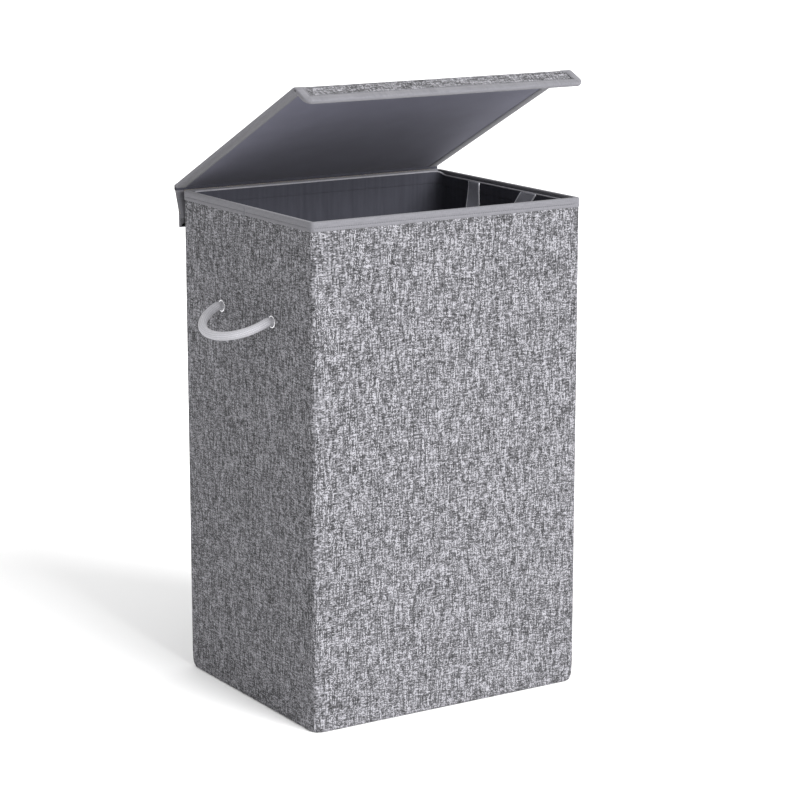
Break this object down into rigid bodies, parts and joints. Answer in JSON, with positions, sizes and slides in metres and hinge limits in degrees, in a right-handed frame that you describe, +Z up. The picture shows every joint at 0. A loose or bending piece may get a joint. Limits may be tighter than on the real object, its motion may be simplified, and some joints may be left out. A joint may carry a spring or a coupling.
{
  "type": "laundry hamper",
  "caption": "Tall rectangular folding laundry hamper in heathered cloth with a hinged lid, bent front lip, rope side handles and a lift-out liner bag",
  "frame": {"origin": "middle of the base on the floor", "axes": "+Z up, -Y is the front that the lip closes over, +Y is the back with the lid hinge, -X and +X are the sides with rope handles"},
  "size_m": [0.5132, 0.3453, 0.8095],
  "materials": {
    "outer_cloth": "heathered linen-look polyester weave, grey and white slub yarns, matt",
    "binding": "light grey woven binding tape with one row of stitches, matt",
    "board": "stiff grey-brown board",
    "lining": "dark grey embossed nonwoven, matt",
    "floor_cloth": "dark grey nonwoven, matt",
    "rope": "light grey knitted rope, soft and matt",
    "eyelet": "small polished nickel eyelet",
    "hook_and_loop": "dark hook and loop tape",
    "liner": "near-black woven polyester",
    "webbing": "dark grey ribbed webbing with lighter edges",
    "ribbon": "black ribbon"
  },
  "bodies": {
    "back_wall": {"back_board": "board", "back_cloth": "outer_cloth", "back_lining": "lining", "back_binding": "binding", "floor_cloth": "floor_cloth", "base_board": "board", "base_cover": "lining", "base_tab": "ribbon", "flap_board": "board", "flap_cloth": "outer_cloth", "flap_binding": "binding", "hook_strip": "hook_and_loop", "loop_strip": "hook_and_loop", "liner_bag": "liner", "liner_hem": "liner", "liner_left_handle": "webbing", "liner_right_handle": "webbing", "liner_tabs": "hook_and_loop"},
    "left_rear": {"left_rear_board": "board", "left_rear_cloth": "outer_cloth", "left_rear_lining": "lining", "left_rear_binding": "binding", "left_rear_eyelet": "eyelet", "left_rear_knot": "rope"},
    "left_front": {"left_front_board": "board", "left_front_cloth": "outer_cloth", "left_front_lining": "lining", "left_front_binding": "binding", "left_front_eyelet": "eyelet", "left_front_knot": "rope"},
    "front_wall": {"front_board": "board", "front_cloth": "outer_cloth", "front_lining": "lining", "front_binding": "binding"},
    "right_rear": {"right_rear_board": "board", "right_rear_cloth": "outer_cloth", "right_rear_lining": "lining", "right_rear_binding": "binding", "right_rear_eyelet": "eyelet", "right_rear_knot": "rope"},
    "right_front": {"right_front_board": "board", "right_front_cloth": "outer_cloth", "right_front_lining": "lining", "right_front_binding": "binding", "right_front_eyelet": "eyelet", "right_front_knot": "rope"},
    "lid": {"lid_board": "board", "lid_cloth": "outer_cloth", "lid_lining": "lining", "lid_binding": "binding"},
    "lip": {"lip_board": "board", "lip_cloth": "outer_cloth", "lip_lining": "lining", "lip_binding": "binding"},
    "left_handle": {"left_rope": "rope"},
    "right_handle": {"right_rope": "rope"}
  },
  "joints": [
    {"name": "fold", "type": "hinge", "parent": "back_wall", "child": "left_rear", "pos_m": [-0.1943, 0.1593, 0.325], "axis": [0, 0, 1], "range_deg": [0, 85], "deforming": ["floor_cloth", "base_board", "base_cover", "base_tab", "liner_bag", "liner_hem", "liner_left_handle", "liner_right_handle", "liner_tabs", "left_rope", "right_rope"]},
    {"name": "left_crease", "type": "hinge", "parent": "left_rear", "child": "left_front", "pos_m": [-0.2011, 0, 0.325], "axis": [0, 0, 1], "range_deg": [-170, 0]},
    {"name": "front_left_corner", "type": "hinge", "parent": "left_front", "child": "front_wall", "pos_m": [-0.1943, -0.1593, 0.325], "axis": [0, 0, 1], "range_deg": [0, 85]},
    {"name": "back_right_corner", "type": "hinge", "parent": "back_wall", "child": "right_rear", "pos_m": [0.1943, 0.1593, 0.325], "axis": [0, 0, 1], "range_deg": [-85, 0]},
    {"name": "right_crease", "type": "hinge", "parent": "right_rear", "child": "right_front", "pos_m": [0.2011, 0, 0.325], "axis": [0, 0, 1], "range_deg": [0, 170]},
    {"name": "lid_hinge", "type": "hinge", "parent": "back_wall", "child": "lid", "pos_m": [0, 0.18, 0.6565], "axis": [-1, 0, 0], "range_deg": [-26.3, 238.7]},
    {"name": "lip_fold", "type": "hinge", "parent": "lid", "child": "lip", "pos_m": [0, -0.13302, 0.80451], "axis": [1, 0, 0], "range_deg": [-51, 39]},
    {"name": "left_handle_swing", "type": "hinge", "parent": "left_rear", "child": "left_handle", "pos_m": [-0.207, 0, 0.512], "axis": [0, 1, 0], "range_deg": [-64, 116]},
    {"name": "right_handle_swing", "type": "hinge", "parent": "right_rear", "child": "right_handle", "pos_m": [0.207, 0, 0.512], "axis": [0, -1, 0], "range_deg": [-64, 116]}
  ],
  "couplings": [
    {"joint": "left_crease", "follows": "fold", "ratio": -2},
    {"joint": "front_left_corner", "follows": "fold", "ratio": 1},
    {"joint": "back_right_corner", "follows": "fold", "ratio": -1},
    {"joint": "right_crease", "follows": "fold", "ratio": 2}
  ]
}
